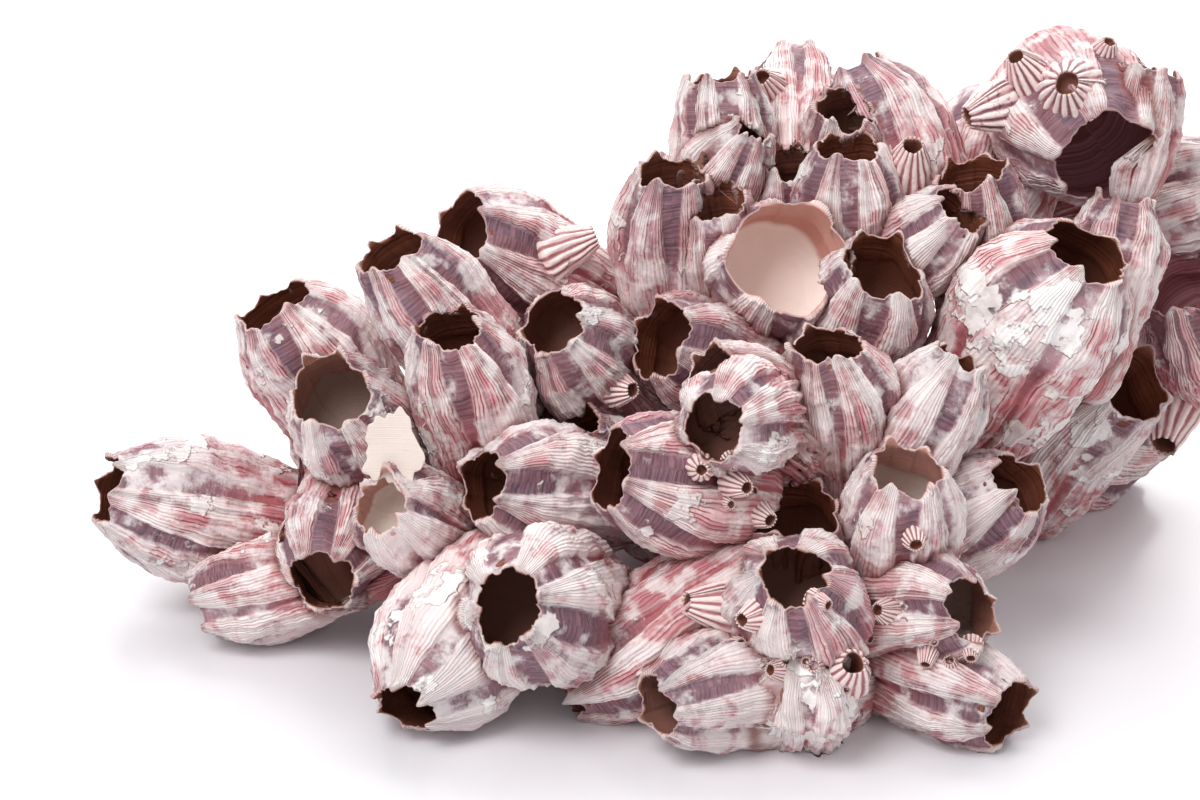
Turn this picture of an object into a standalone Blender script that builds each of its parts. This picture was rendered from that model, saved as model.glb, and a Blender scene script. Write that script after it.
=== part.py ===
"""A dried cluster of giant purple acorn barnacles, about 35 cm long, as sold for decoration.

Every barnacle is a shell of its own: six wall plates that stand a little proud of the six seams
between them, a toothed rim, a deep hollow, and a foot that is cemented to its neighbours.
Each shell is a turned cup with twelve columns. Where two shells grew together, the one that shows
less is cut back to the outer form of the other, with a fine gap between them.
The cluster rests on the floor at Z = 0 on the shells that are cut flat there.
"""
import math

import bmesh
import bpy
from mathutils import Matrix, Vector

MM = 0.001

# Driving dimensions, in millimetres
CLUSTER_CENTRE = Vector((8, 0, 0))    # of the places in the lists below; the part's origin
WALL = 2.0                             # thickness of a shell's wall at its rim
GAP = 0.3                              # clearance between neighbours that grew together
FLOOR_SPREAD, FLOOR_DEPTH = 1000.0, 60.0    # width and depth of the block below the floor
SMALLEST_SEAM = 0.015                  # points closer than this are one point
WELDS = (0.12, 0.05, SMALLEST_SEAM)    # the same for the leftovers of a cut, the first that works
FLAT_ANGLE = 0.2                       # faces that meet at less than this angle are one face

# Form of a shell, as shares of its length and of its belly radius
COLUMNS = 12                           # six plates and six seams
ROOT = 24.0                            # how far a foot reaches in among its neighbours, below the cup
SHORT_ROOTS = {                        # feet with no room behind them
    "tower_shell": 2.0,
    "tower_side_shell": 12.0,
    "edge_purple_shell": 10.0,
    "left_tip_shell": 14.0,
    "front_side_shell": 8.0,
}
FOOT_SHARE = 0.70                      # radius of the foot
BELLY_HEIGHT = 0.46
WIDE_BELLY = 16.5                      # a wider shell has a round shoulder too
SHOULDER_HEIGHT = 0.76
SHOULDER_MOUTH, SHOULDER_BELLY = 0.45, 0.60
HOLLOW_DEPTH = 0.66                    # depth of the hollow
WIDE_MOUTH = 9.0                       # a wider mouth has a thick rim and a flat floor below it
HOLLOW_FLOOR = 0.62                    # radius of that floor
PLATE_RISE = 0.045                     # a plate stands proud of the mean radius by this share
TOOTH = 0.028                          # a plate's tip above the mean rim, as a share of the length
RIM_ZONE = 0.95                        # the tips are raised above this height

# Young shells that grow on the others
YOUNG_COLUMNS = 6
YOUNG_SINK = 3.0                       # how deep the root reaches into its host
YOUNG_MOUTH_SHARE = 0.42
YOUNG_RIM = 0.8                        # thickness of its rim
YOUNG_PIT = 0.5

# Each shell: name, centre of the mouth, heading and pitch of its axis in degrees (0 faces the
# front, 90 the right), length, mouth radius, belly radius. The first ones show most.
SHELLS = (
    ("front_low_shell", (-8, -95, 18), -61, 9, 42, 7.4, 15.5),
    ("corner_shell", (85, -88, 12), 48, 2, 42, 8.0, 15.0),
    ("front_mid_shell", (26, -90, 53), -12, 53, 36, 7.4, 18.0),
    ("front_right_shell", (75, -80, 37), 50, 19, 38, 7.8, 16.0),
    ("front_round_shell", (-45, -92, 45), -19, 27, 42, 8.4, 20.5),
    ("front_left_shell", (-73, -88, 13), -27, -14, 45, 7.0, 20.0),
    ("left_round_shell", (-96, -48, 29), -6, -2, 38, 8.3, 16.0),
    ("pale_small_shell", (-80, -52, 55), -43, 40, 26, 7.1, 13.5),
    ("left_low_shell", (-133, -28, 12), -90, -15, 38, 7.7, 14.0),
    ("left_tip_shell", (-159, -12, 38), -71, 22, 54, 9.2, 19.0),
    ("dark_hollow_shell", (29, -58, 55), -8, 72, 38, 11.5, 16.0),
    ("right_open_shell", (58, -62, 70), 15, 74, 36, 8.0, 15.3),
    ("right_tilted_shell", (91, -42, 55), 64, 41, 34, 8.5, 15.5),
    ("teardrop_shell", (7, -68, 83), -25, 16, 30, 7.4, 15.0),
    ("middle_left_shell", (-53, -48, 58), -48, 22, 40, 8.5, 17.0),
    ("front_side_shell", (-19, -62, 69), -64, 23, 42, 9.3, 18.0),
    ("left_wide_shell", (-96, -20, 73), -29, 50, 40, 10.0, 17.0),
    ("lower_twin_shell", (-63, -22, 92), -51, 72, 40, 7.8, 16.0),
    ("square_mouth_shell", (-35, -10, 87), -42, 48, 36, 8.7, 17.0),
    ("pointed_mouth_shell", (-6, -15, 85), -57, 30, 36, 10.3, 16.0),
    ("centre_crown_shell", (37, -38, 94), -40, 74, 38, 7.9, 15.5),
    ("striped_shell", (74, -32, 87), 102, 60, 38, 6.9, 14.5),
    ("hidden_lip_shell", (6, -42, 89), -73, 46, 34, 6.6, 15.0),
    ("left_crown_shell", (-113, 9, 85), -82, 58, 42, 10.6, 18.5),
    ("upper_twin_shell", (-80, 0, 105), -82, 55, 42, 8.4, 16.0),
    ("back_left_shell", (-61, 22, 102), -57, 36, 40, 10.3, 17.0),
    ("giant_shell", (110, -12, 109), 59, 59, 48, 10.7, 24.0),
    ("broken_bowl_shell", (29, -5, 106), 15, 38, 42, 15.7, 20.0),
    ("bowl_mate_shell", (54, -10, 105), 36, 64, 38, 10.5, 17.0),
    ("brown_mouth_shell", (9, 11, 116), -58, 73, 42, 8.4, 12.5),
    ("top_left_shell", (-3, 15, 122), -15, 81, 42, 8.8, 14.5),
    ("top_ridged_shell", (46, 20, 128), -48, 81, 38, 7.6, 15.0),
    ("leaning_shell", (77, 6, 114), 62, 45, 36, 6.4, 13.0),
    ("top_right_shell", (80, 18, 121), -75, 82, 38, 8.5, 13.5),
    ("right_dark_shell", (128, 20, 58), 49, 56, 44, 12.8, 17.0),
    ("tower_shell", (119, 30, 120), 16, -13, 45, 13.9, 23.0),
    ("tower_side_shell", (131, 50, 140), 150, 73, 28, 7.5, 12.0),
    ("edge_purple_shell", (147, 38, 80), -48, 60, 36, 13.1, 18.0),
    ("top_slit_shell", (20, 25, 131), 60, 64, 32, 4.7, 12.0),
    ("top_gap_shell", (30, 28, 121), -11, 81, 32, 6.9, 13.0),
    ("top_back_shell", (46, 35, 134), -9, 69, 36, 7.2, 13.0),
    ("front_foot_shell", (30, -88, 30), -169, 82, 30, 5.0, 12.5),
    ("front_under_shell", (-31, -70, 6), -76, -32, 42, 6.6, 17.0),
    ("dark_lip_shell", (-28, -18, 60), -61, 54, 32, 6.8, 13.5),
    ("fan_shell", (123, 20, 111), 147, 61, 34, 7.1, 13.5),
    ("top_grey_shell", (12, 42, 140), 180, 68, 36, 8.4, 13.5),
    ("top_dome_shell", (35, 85, 128), 178, 20, 36, 7.9, 14.0),
    ("back_purple_shell", (50, 58, 136), -145, 50, 42, 8.5, 18.0),
    ("back_high_shell", (0, 78, 98), 175, 42, 48, 9.0, 18.0),
    ("back_rise_shell", (98, 96, 114), 165, 30, 48, 9.5, 20.0),
    ("back_middle_shell", (48, 98, 72), 172, 14, 50, 9.5, 20.0),
    ("back_wing_shell", (-52, 66, 66), -165, 24, 48, 9.0, 19.0),
    ("back_tail_shell", (-108, 42, 40), -140, 14, 48, 8.5, 18.0),
    ("right_rise_shell", (168, 58, 104), 70, 25, 42, 8.5, 17.0),
    ("right_end_shell", (176, 60, 58), 75, 12, 44, 9.0, 18.0),
    ("back_foot_left_shell", (-62, 64, 12), -172, -8, 50, 9.0, 19.0),
    ("back_foot_middle_shell", (2, 84, 13), 176, -8, 52, 9.5, 20.0),
    ("back_foot_right_shell", (74, 90, 14), 160, -8, 52, 9.5, 20.0),
    ("right_foot_shell", (142, 74, 11), 118, -16, 50, 9.0, 19.0),
    ("under_shell", (34, 2, 6), -20, -62, 52, 9.5, 20.0),
)

# Each young shell: its host, where it grows out, heading and pitch, height, radius at its root
YOUNG = (
    ("right_open_shell", (59, -70, 54), 5, -5, 5, 4.6),
    ("front_mid_shell", (18, -91, 42), -45, 8, 6, 5.0),
    ("front_mid_shell", (33, -93, 47), 45, 5, 4, 3.2),
    ("front_mid_shell", (13, -74, 35), -71, 15, 14, 8.0),
    ("front_foot_shell", (33, -93, 29), -10, 20, 4, 3.6),
    ("front_foot_shell", (25, -91, 26), -50, 20, 5, 4.0),
    ("front_foot_shell", (40, -84, 20), 10, 40, 19, 8.5),
    ("front_right_shell", (52, -78, 36), -36, 28, 5, 4.0),
    ("front_right_shell", (63, -82, 26), -15, -27, 4, 3.4),
    ("front_right_shell", (74, -83, 28), -5, -18, 4, 3.2),
    ("corner_shell", (69, -83, 22), -19, 60, 4, 3.2),
    ("front_side_shell", (4, -67, 72), 0, 20, 5, 4.0),
    ("front_side_shell", (13, -64, 66), 30, 12, 6, 4.4),
    ("front_side_shell", (19, -60, 55), 35, 6, 6, 4.6),
    ("square_mouth_shell", (-17, -12, 69), 44, 14, 6, 5.6),
    ("back_left_shell", (-38, 26, 92), 107, 17, 16, 9.0),
    ("tower_shell", (109, 36, 138), -20, 32, 9, 10.0),
    ("tower_shell", (92, 46, 130), -70, -10, 12, 8.5),
    ("tower_shell", (98, 46, 139), -50, 50, 9, 7.0),
    ("tower_shell", (120, 52, 144), 30, 60, 4, 4.6),
    ("top_dome_shell", (26, 58, 131), -20, 40, 9, 6.0),
    ("back_purple_shell", (63, 27, 115), 5, 58, 16, 8.0),
    ("right_end_shell", (150, 57, 38), -19, -20, 26, 11.0),
)


def axis_of(heading, pitch):
    """The direction that a mouth faces."""
    turn, lift = math.radians(heading), math.radians(pitch)
    return Vector((math.cos(lift) * math.sin(turn), -math.cos(lift) * math.cos(turn), math.sin(lift)))


def place_of(mouth, heading, pitch, length):
    """The matrix that puts a shell, foot at its origin and mouth up, where it grew."""
    axis = axis_of(heading, pitch)
    turn = Vector((0, 0, 1)).rotation_difference(axis).to_matrix().to_4x4()
    foot = (Vector(mouth) - CLUSTER_CENTRE) - axis * length
    return Matrix.Translation(foot * MM) @ turn


def turned(profile, columns):
    """Turn a profile of (radius, height) points about Z and weld its seam and its ends."""
    mesh = bmesh.new()
    points = [mesh.verts.new((radius * MM, 0, height * MM)) for radius, height in profile]
    edges = [mesh.edges.new(pair) for pair in zip(points, points[1:])]
    bmesh.ops.spin(mesh, geom=points + edges, cent=(0, 0, 0), axis=(0, 0, 1),
                   angle=2 * math.pi, steps=columns)
    bmesh.ops.remove_doubles(mesh, verts=mesh.verts, dist=SMALLEST_SEAM * MM)
    return mesh


def flute(mesh, length, columns):
    """Push every second column out, and raise it at the rim, so that the plates show.

    The bent faces are split the same way on a shell and on its plug.
    """
    for point in mesh.verts:
        column = round(math.atan2(point.co.y, point.co.x) / (2 * math.pi) * columns)
        side = 1 if column % 2 == 0 else -1
        radius = math.hypot(point.co.x, point.co.y)
        if radius > SMALLEST_SEAM * MM:
            point.co.x *= 1 + side * PLATE_RISE
            point.co.y *= 1 + side * PLATE_RISE
        if point.co.z > RIM_ZONE * length * MM and radius > SMALLEST_SEAM * MM:
            point.co.z += side * TOOTH * length * MM
    bmesh.ops.triangulate(mesh, faces=mesh.faces, quad_method="FIXED")


def rim_radius(mouth_radius):
    """Outer radius of the rim, which is sharp on a narrow mouth."""
    return mouth_radius + WALL / 2 if mouth_radius > WIDE_MOUTH else mouth_radius


def outer_profile(length, mouth_radius, belly_radius, root, extra=0.0):
    """The outside of a shell from its foot to its rim, larger by extra all round."""
    profile = [
        (0, -root - extra),
        (FOOT_SHARE * belly_radius + extra, -root - extra),
        (belly_radius + extra, BELLY_HEIGHT * length),
    ]
    if belly_radius > WIDE_BELLY:
        shoulder = SHOULDER_MOUTH * mouth_radius + SHOULDER_BELLY * belly_radius
        profile.append((shoulder + extra, SHOULDER_HEIGHT * length))
    profile.append((rim_radius(mouth_radius) + extra, length + extra))
    return profile


def shell_mesh(length, mouth_radius, belly_radius, root):
    """A cup: the outside, the rim, and the hollow down to its floor."""
    profile = outer_profile(length, mouth_radius, belly_radius, root)
    bottom = (1 - HOLLOW_DEPTH) * length
    if mouth_radius > WIDE_MOUTH:
        profile.append((mouth_radius - WALL / 2, length))
        profile.append((HOLLOW_FLOOR * belly_radius, bottom))
    profile.append((0, bottom))
    mesh = turned(profile, COLUMNS)
    flute(mesh, length, COLUMNS)
    return mesh


def plug_mesh(length, mouth_radius, belly_radius, root):
    """The outer form alone, a little larger and with a domed lid, which cuts the neighbours back."""
    profile = outer_profile(length, mouth_radius, belly_radius, root, GAP)
    profile.append((0, (1 + 2 * TOOTH) * length))
    mesh = turned(profile, COLUMNS)
    flute(mesh, length, COLUMNS)
    return mesh


def young_profile(height, root_radius, extra=0.0):
    """The outside of a young shell from its root in the host to its rim."""
    rim = YOUNG_MOUTH_SHARE * root_radius + YOUNG_RIM
    return [
        (0, -YOUNG_SINK - extra),
        (root_radius + extra, -YOUNG_SINK - extra),
        (rim + extra, height + extra),
    ]


def young_mesh(height, root_radius):
    """A small cone with a pit in its top, rooted in its host."""
    profile = young_profile(height, root_radius)
    profile.append((YOUNG_MOUTH_SHARE * root_radius, height))
    profile.append((0, (1 - YOUNG_PIT) * height))
    return turned(profile, YOUNG_COLUMNS)


def young_plug_mesh(height, root_radius):
    """The outer form of a young shell, a little larger."""
    profile = young_profile(height, root_radius, GAP)
    profile.append((0, height + GAP))
    return turned(profile, YOUNG_COLUMNS)


def floor_block():
    """The space below the floor, which the shells don't reach into."""
    mesh = bmesh.new()
    bmesh.ops.create_cube(mesh, size=MM)
    bmesh.ops.scale(mesh, vec=(FLOOR_SPREAD, FLOOR_SPREAD, FLOOR_DEPTH), verts=mesh.verts)
    bmesh.ops.translate(mesh, vec=(0, 0, -FLOOR_DEPTH / 2 * MM), verts=mesh.verts)
    return mesh


def new_object(name, mesh, matrix, collection):
    """Put a working mesh in an object, with its place in the mesh itself."""
    mesh.transform(matrix)
    bmesh.ops.recalc_face_normals(mesh, faces=mesh.faces)
    if mesh.faces and mesh.calc_volume(signed=True) < 0:
        bmesh.ops.reverse_faces(mesh, faces=mesh.faces)
    data = bpy.data.meshes.new(name)
    mesh.to_mesh(data)
    mesh.free()
    item = bpy.data.objects.new(name, data)
    collection.objects.link(item)
    return item


def new_collection(name):
    collection = bpy.data.collections.new(name)
    bpy.context.scene.collection.children.link(collection)
    return collection


def box_of(item):
    """Lowest and highest corners of an object's mesh."""
    points = [vertex.co for vertex in item.data.vertices]
    low = Vector([min(point[k] for point in points) for k in range(3)])
    high = Vector([max(point[k] for point in points) for k in range(3)])
    return low, high


def boxes_meet(first, second):
    return all(first[0][k] < second[1][k] and second[0][k] < first[1][k] for k in range(3))


def combine(item, cutter, operation):
    """Apply one exact Boolean to an object's mesh."""
    boolean = item.modifiers.new("cut", "BOOLEAN")
    boolean.operation = operation
    boolean.solver = "EXACT"
    boolean.object = cutter
    graph = bpy.context.evaluated_depsgraph_get()
    result = bpy.data.meshes.new_from_object(item.evaluated_get(graph))
    item.modifiers.remove(boolean)
    before = item.data
    item.data = result
    bpy.data.meshes.remove(before)


def islands(mesh):
    """The connected sets of faces of a working mesh."""
    left = set(mesh.faces)
    found = []
    while left:
        border = [left.pop()]
        part = set(border)
        while border:
            face = border.pop()
            for edge in face.edges:
                for other in edge.link_faces:
                    if other in left:
                        left.remove(other)
                        part.add(other)
                        border.append(other)
        found.append(part)
    return found


def volume_of(faces):
    """Volume inside a closed set of faces, counted from the world's origin."""
    total = 0.0
    for face in faces:
        first = face.verts[0].co
        for second, third in zip(face.verts[1:], face.verts[2:]):
            total += first.dot(second.co.cross(third.co)) / 6
    return total


def tidied(item, weld):
    """A working copy of an object's mesh, welded, without flat leftovers, its largest body alone."""
    mesh = bmesh.new()
    mesh.from_mesh(item.data)
    bmesh.ops.remove_doubles(mesh, verts=mesh.verts, dist=weld * MM)
    bmesh.ops.dissolve_limit(mesh, angle_limit=math.radians(FLAT_ANGLE), verts=mesh.verts,
                             edges=mesh.edges)
    bmesh.ops.triangulate(mesh, faces=mesh.faces)
    bmesh.ops.dissolve_degenerate(mesh, dist=weld * MM, edges=mesh.edges)
    bmesh.ops.triangulate(mesh, faces=mesh.faces)
    parts = sorted(islands(mesh), key=volume_of, reverse=True)
    for part in parts[1:]:
        bmesh.ops.delete(mesh, geom=list(part), context="FACES")
    loose = [vertex for vertex in mesh.verts if not vertex.link_faces]
    bmesh.ops.delete(mesh, geom=loose, context="VERTS")
    return mesh


def tidy(item):
    """Weld the small steps that the cuts leave, as widely as the mesh stays closed."""
    for weld in WELDS:
        mesh = tidied(item, weld)
        closed = all(len(edge.link_faces) == 2 for edge in mesh.edges)
        if closed:
            mesh.to_mesh(item.data)
        mesh.free()
        if closed:
            return


def purple_shell_material():
    """Dry, chalky white and purple-pink shell."""
    material = bpy.data.materials.new("purple_shell")
    material.use_nodes = True
    surface = material.node_tree.nodes["Principled BSDF"]
    surface.inputs["Base Color"].default_value = (0.55, 0.42, 0.44, 1)
    surface.inputs["Roughness"].default_value = 0.62
    surface.inputs["Metallic"].default_value = 0.0
    return material


for item in list(bpy.data.objects):
    bpy.data.objects.remove(item)

cluster = new_collection("barnacle_cluster")
cutters = new_collection("cutters")
material = purple_shell_material()

below = new_object("below_floor", floor_block(), Matrix(), cutters)

plugs = []
for name, mouth, heading, pitch, *form in SHELLS:
    form.append(SHORT_ROOTS.get(name, ROOT))
    place = place_of(mouth, heading, pitch, form[0])
    shell = new_object(name, shell_mesh(*form), place, cluster)
    own_plugs = [new_object(name + "_plug", plug_mesh(*form), place, cutters)]
    for host, root, turn, lift, height, radius in YOUNG:
        if host == name:
            grown = place_of(root, turn, lift, 0)
            young = new_object("young", young_mesh(height, radius), grown, cutters)
            combine(shell, young, "UNION")
            bpy.data.objects.remove(young)
            own_plugs.append(new_object("young_plug", young_plug_mesh(height, radius), grown, cutters))
    outline = box_of(shell)
    for plug in plugs:
        if boxes_meet(outline, box_of(plug)):
            combine(shell, plug, "DIFFERENCE")
    if outline[0].z < 0:
        combine(shell, below, "DIFFERENCE")
    tidy(shell)
    shell.data.materials.clear()
    shell.data.materials.append(material)
    plugs += own_plugs

for cutter in list(cutters.objects):
    bpy.data.objects.remove(cutter)
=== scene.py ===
import math

import bpy
import numpy as np
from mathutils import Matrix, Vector


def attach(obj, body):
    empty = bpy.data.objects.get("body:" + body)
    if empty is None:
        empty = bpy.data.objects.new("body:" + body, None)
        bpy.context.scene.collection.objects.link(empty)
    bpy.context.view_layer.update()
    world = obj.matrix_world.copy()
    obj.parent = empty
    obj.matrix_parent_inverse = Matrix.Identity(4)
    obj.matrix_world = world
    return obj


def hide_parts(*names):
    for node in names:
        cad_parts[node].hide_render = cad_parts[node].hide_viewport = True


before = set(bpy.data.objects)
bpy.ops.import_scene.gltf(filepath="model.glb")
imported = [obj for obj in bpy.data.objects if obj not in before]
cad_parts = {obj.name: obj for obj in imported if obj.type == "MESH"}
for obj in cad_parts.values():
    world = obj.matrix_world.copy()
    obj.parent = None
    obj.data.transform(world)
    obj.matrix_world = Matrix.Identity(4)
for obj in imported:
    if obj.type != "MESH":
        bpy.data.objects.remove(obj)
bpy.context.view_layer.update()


# The view: the cluster lies with its long side across the picture, seen from a little above
# through a long lens, from the front. Sizes and places are in millimetres, here and below.
MM = 0.001
VIEW_ELEVATION = math.radians(25)
VIEW_DISTANCE = 900
VIEW_CENTRE = Vector((-30, 0, 60))
SENSOR_WIDTH, LENS = 36, 97.2
camera = bpy.data.objects.new("camera", bpy.data.cameras.new("camera"))
bpy.context.scene.collection.objects.link(camera)
camera.data.sensor_width = SENSOR_WIDTH
camera.data.lens = LENS
towards_camera = Vector((0, -math.cos(VIEW_ELEVATION), math.sin(VIEW_ELEVATION)))
camera.location = (VIEW_CENTRE + towards_camera * VIEW_DISTANCE) * MM
camera.rotation_euler = (math.pi / 2 - VIEW_ELEVATION, 0, 0)
bpy.context.scene.camera = camera


# The grown shells. Each barnacle built its own cup of six chalky wall plates, pink and white and
# ribbed, that stand proud of six smooth purple-grey seams, with a brown horny sheath inside the
# mouth. They grew on each other and are cemented side by side.

# A row is a shell's name, the middle of its mouth, where the mouth faces in degrees (to the right
# of the front, and up), its length, and the radii of its mouth and its belly.
SHELLS = (
    ("front_low_shell", (-8, -95, 18), -61, 9, 42, 7.4, 15.5),
    ("corner_shell", (85, -88, 12), 48, 2, 42, 8.0, 15.0),
    ("front_mid_shell", (26, -90, 53), -12, 53, 36, 7.4, 18.0),
    ("front_right_shell", (75, -80, 37), 50, 19, 38, 7.8, 16.0),
    ("front_round_shell", (-45, -92, 45), -19, 27, 42, 8.4, 20.5),
    ("front_left_shell", (-73, -88, 13), -27, -14, 45, 7.0, 20.0),
    ("left_round_shell", (-96, -48, 29), -6, -2, 38, 8.3, 16.0),
    ("pale_small_shell", (-80, -52, 55), -43, 40, 26, 7.1, 13.5),
    ("left_low_shell", (-133, -28, 12), -90, -15, 38, 7.7, 14.0),
    ("left_tip_shell", (-159, -12, 38), -71, 22, 54, 9.2, 19.0),
    ("dark_hollow_shell", (29, -58, 55), -8, 72, 38, 11.5, 16.0),
    ("right_open_shell", (58, -62, 70), 15, 74, 36, 8.0, 15.3),
    ("right_tilted_shell", (91, -42, 55), 64, 41, 34, 8.5, 15.5),
    ("teardrop_shell", (7, -68, 83), -25, 16, 30, 7.4, 15.0),
    ("middle_left_shell", (-53, -48, 58), -48, 22, 40, 8.5, 17.0),
    ("front_side_shell", (-19, -62, 69), -64, 23, 42, 9.3, 18.0),
    ("left_wide_shell", (-96, -20, 73), -29, 50, 40, 10.0, 17.0),
    ("lower_twin_shell", (-63, -22, 92), -51, 72, 40, 7.8, 16.0),
    ("square_mouth_shell", (-35, -10, 87), -42, 48, 36, 8.7, 17.0),
    ("pointed_mouth_shell", (-6, -15, 85), -57, 30, 36, 10.3, 16.0),
    ("centre_crown_shell", (37, -38, 94), -40, 74, 38, 7.9, 15.5),
    ("striped_shell", (74, -32, 87), 102, 60, 38, 6.9, 14.5),
    ("hidden_lip_shell", (6, -42, 89), -73, 46, 34, 6.6, 15.0),
    ("left_crown_shell", (-113, 9, 85), -82, 58, 42, 10.6, 18.5),
    ("upper_twin_shell", (-80, 0, 105), -82, 55, 42, 8.4, 16.0),
    ("back_left_shell", (-61, 22, 102), -57, 36, 40, 10.3, 17.0),
    ("giant_shell", (110, -12, 109), 59, 59, 48, 10.7, 24.0),
    ("broken_bowl_shell", (29, -5, 106), 15, 38, 42, 15.7, 20.0),
    ("bowl_mate_shell", (54, -10, 105), 36, 64, 38, 10.5, 17.0),
    ("brown_mouth_shell", (9, 11, 116), -58, 73, 42, 8.4, 12.5),
    ("top_left_shell", (-3, 15, 122), -15, 81, 42, 8.8, 14.5),
    ("top_ridged_shell", (46, 20, 128), -48, 81, 38, 7.6, 15.0),
    ("leaning_shell", (77, 6, 114), 62, 45, 36, 6.4, 13.0),
    ("top_right_shell", (80, 18, 121), -75, 82, 38, 8.5, 13.5),
    ("right_dark_shell", (128, 20, 58), 49, 56, 44, 12.8, 17.0),
    ("tower_shell", (119, 30, 120), 16, -13, 45, 13.9, 23.0),
    ("tower_side_shell", (131, 50, 140), 150, 73, 28, 7.5, 12.0),
    ("edge_purple_shell", (147, 38, 80), -48, 60, 36, 13.1, 18.0),
    ("top_slit_shell", (20, 25, 131), 60, 64, 32, 4.7, 12.0),
    ("top_gap_shell", (30, 28, 121), -11, 81, 32, 6.9, 13.0),
    ("top_back_shell", (46, 35, 134), -9, 69, 36, 7.2, 13.0),
    ("front_foot_shell", (30, -88, 30), -169, 82, 30, 5.0, 12.5),
    ("front_under_shell", (-31, -70, 6), -76, -32, 42, 6.6, 17.0),
    ("dark_lip_shell", (-28, -18, 60), -61, 54, 32, 6.8, 13.5),
    ("fan_shell", (123, 20, 111), 147, 61, 34, 7.1, 13.5),
    ("top_grey_shell", (12, 42, 140), 180, 68, 36, 8.4, 13.5),
    ("top_dome_shell", (35, 85, 128), 178, 20, 36, 7.9, 14.0),
    ("back_purple_shell", (50, 58, 136), -145, 50, 42, 8.5, 18.0),
    ("back_high_shell", (0, 78, 98), 175, 42, 48, 9.0, 18.0),
    ("back_rise_shell", (98, 96, 114), 165, 30, 48, 9.5, 20.0),
    ("back_middle_shell", (48, 98, 72), 172, 14, 50, 9.5, 20.0),
    ("back_wing_shell", (-52, 66, 66), -165, 24, 48, 9.0, 19.0),
    ("back_tail_shell", (-108, 42, 40), -140, 14, 48, 8.5, 18.0),
    ("right_rise_shell", (168, 58, 104), 70, 25, 42, 8.5, 17.0),
    ("right_end_shell", (176, 60, 58), 75, 12, 44, 9.0, 18.0),
    ("back_foot_left_shell", (-62, 64, 12), -172, -8, 50, 9.0, 19.0),
    ("back_foot_middle_shell", (2, 84, 13), 176, -8, 52, 9.5, 20.0),
    ("back_foot_right_shell", (74, 90, 14), 160, -8, 52, 9.5, 20.0),
    ("right_foot_shell", (142, 74, 11), 118, -16, 50, 9.0, 19.0),
    ("under_shell", (34, 2, 6), -20, -62, 52, 9.5, 20.0),
)
CLUSTER_CENTRE = np.array((8.0, 0.0, 0.0))

# How far a shell goes on below its length, down among the feet of its neighbours.
ROOT = 24
SHORT_ROOTS = {"tower_shell": 2, "tower_side_shell": 12, "edge_purple_shell": 10,
               "left_tip_shell": 14, "front_side_shell": 8}

# The belly and the hollow as shares of the length, and the brown sheath as a share of the hollow.
BELLY_HEIGHT = 0.46
HOLLOW_DEPTH = 0.66
SHEATH_DEPTH = 0.42

# The wall at the rim and what it gains deep in the hollow, how far a plate stands proud of its
# seams, the height of its tip, how far the rim as a whole slopes up and down, and the distances
# between the steps of yearly growth and between the sheath's rings.
RIM_WALL, WALL_GAIN = 1.0, 2.2
PLATE_RISE = 2.7
TIP_HEIGHT = 3.3
RIM_SLOPE = 1.3
YEARLY_GROWTH = 3.4
RING_SPACING = 1.7

# The share of a plate that half of a seam takes at the foot, and what it gains up to the rim.
SEAM_AT_FOOT, SEAM_GAIN = 0.03, 0.23

# Six plates of thirteen fine ribs each, in folds that are about three ribs wide. Strands number
# the ribs, with sixteen numbers to a plate so that no two plates share one.
PLATES = 6
RIBS_PER_HALF_PLATE = 6.5
RIBS_PER_FOLD = 3.2
STRANDS_PER_PLATE = 16

# How strong the lumps are on a shell, and on the battered one at the front.
LUMPS, LUMPY_LUMPS = 0.34, 0.7
LUMPY = "front_foot_shell"

# Columns, rows outside and rows inside of a shell's grid, for the shells at the front and for
# those at the back, which start at row BACK_FROM of the table above.
FRONT_GRID, BACK_GRID = (168, 62, 26), (120, 46, 18)
BACK_FROM = 45

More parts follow.
